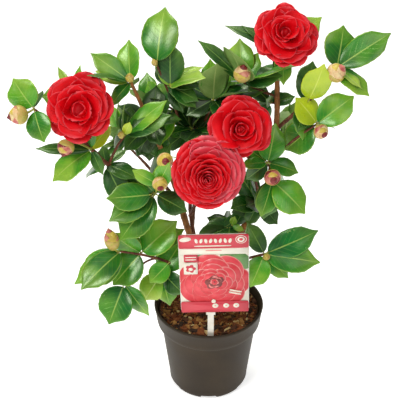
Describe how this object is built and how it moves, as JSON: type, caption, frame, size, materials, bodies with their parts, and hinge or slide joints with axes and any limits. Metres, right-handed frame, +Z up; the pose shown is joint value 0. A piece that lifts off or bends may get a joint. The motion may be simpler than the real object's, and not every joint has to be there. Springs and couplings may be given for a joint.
{
  "type": "camellia shrub in a pot",
  "caption": "Camellia shrub with open red double blooms and glossy leaves on a few slender stems, growing in a round nursery pot with an upright picture label.",
  "frame": {"origin": "middle of the pot's flat underside", "axes": "+Z up along the pot's axis, -Y towards the front with the label, +X to the right of that front"},
  "size_m": [0.4377, 0.2542, 0.562],
  "materials": {
    "pot_plastic": "satin grey-brown moulded plastic",
    "potting_mix": "loose dark brown bark and fibre",
    "label_card": "printed satin card",
    "label_stick": "off-white satin plastic",
    "bark": "smooth orange-brown bark",
    "petals": "velvety red petals with paler edges",
    "leaves": "glossy evergreen leaves with pale ribs"
  },
  "bodies": {
    "root": {"bloom_front": "petals", "bloom_left": "petals", "bloom_middle": "petals", "bloom_top": "petals", "bough_back_left": "bark", "bough_back_middle": "bark", "bough_back_right": "bark", "bough_bud": "bark", "bough_far_left": "bark", "bough_front_bloom": "bark", "bough_inner_left": "bark", "bough_left": "bark", "bough_low_left": "bark", "bough_low_right": "bark", "bough_middle": "bark", "bough_middle_bloom": "bark", "bough_right_front": "bark", "bough_right_middle": "bark", "bough_right_top": "bark", "foliage_back_left": "leaves", "foliage_back_left_top": "leaves", "foliage_back_low": "leaves", "foliage_back_middle": "leaves", "foliage_back_right": "leaves", "foliage_back_right_top": "leaves", "foliage_bud": "leaves", "foliage_centre": "leaves", "foliage_centre_low": "leaves", "foliage_far_left": "leaves", "foliage_far_right_low": "leaves", "foliage_inner_left": "leaves", "foliage_left_behind": "leaves", "foliage_left_fork": "leaves", "foliage_left_low": "leaves", "foliage_left_middle": "leaves", "foliage_left_shade": "leaves", "foliage_low_left": "leaves", "foliage_low_left_drop": "leaves", "foliage_low_left_inner": "leaves", "foliage_low_left_middle": "leaves", "foliage_middle_left": "leaves", "foliage_middle_top": "leaves", "foliage_right_fork": "leaves", "foliage_right_inner": "leaves", "foliage_right_low": "leaves", "foliage_right_middle": "leaves", "foliage_right_shade": "leaves", "foliage_right_stem": "leaves", "foliage_right_top": "leaves", "foliage_tall_leaf": "leaves", "foliage_top_behind": "leaves", "foliage_upper_left": "leaves", "label_card": "label_card", "label_stick": "label_stick", "pot": "pot_plastic", "soil": "potting_mix", "stem_left": "bark", "stem_middle": "bark", "stem_right": "bark", "trunk": "bark"}
  },
  "joints": []
}
